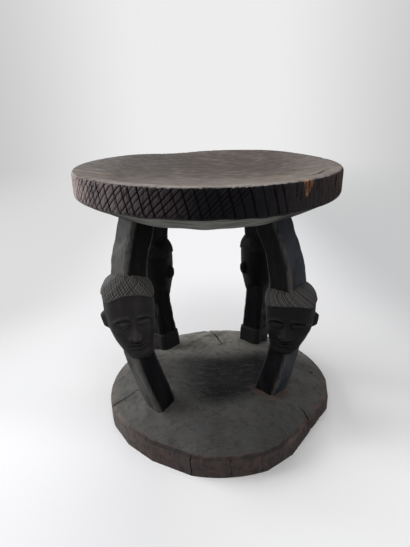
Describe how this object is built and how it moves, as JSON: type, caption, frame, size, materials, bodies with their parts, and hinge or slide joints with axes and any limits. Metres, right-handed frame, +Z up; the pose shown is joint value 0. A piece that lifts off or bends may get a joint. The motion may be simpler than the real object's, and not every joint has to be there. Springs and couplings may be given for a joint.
{
  "type": "carved wooden stool",
  "caption": "Low carved wooden stool with a dished round seat, a cross-hatched rim, bowed square legs that each carry a carved head, and a domed round base.",
  "frame": {"origin": "On the floor, on the base's flat underside, straight below the middle of the seat and about 7.5 mm to the left of the base's own middle", "axes": "+Z is up, -Y is the front, the side that faces the picture's viewer, and +X is that viewer's right"},
  "size_m": [0.3244, 0.3203, 0.341],
  "materials": {
    "seat_wood": "worn dark patina, low sheen",
    "base_wood": "dusty dark patina, matt",
    "leg_wood": "near-black patina, soft sheen",
    "head_wood": "near-black patina, soft sheen"
  },
  "bodies": {
    "root": {"seat": "seat_wood", "base": "base_wood", "leg_front_left": "leg_wood", "leg_front_right": "leg_wood", "leg_back_left": "leg_wood", "leg_back_right": "leg_wood", "head_front_left": "head_wood", "head_front_right": "head_wood", "head_back_left": "head_wood", "head_back_right": "head_wood"}
  },
  "joints": []
}
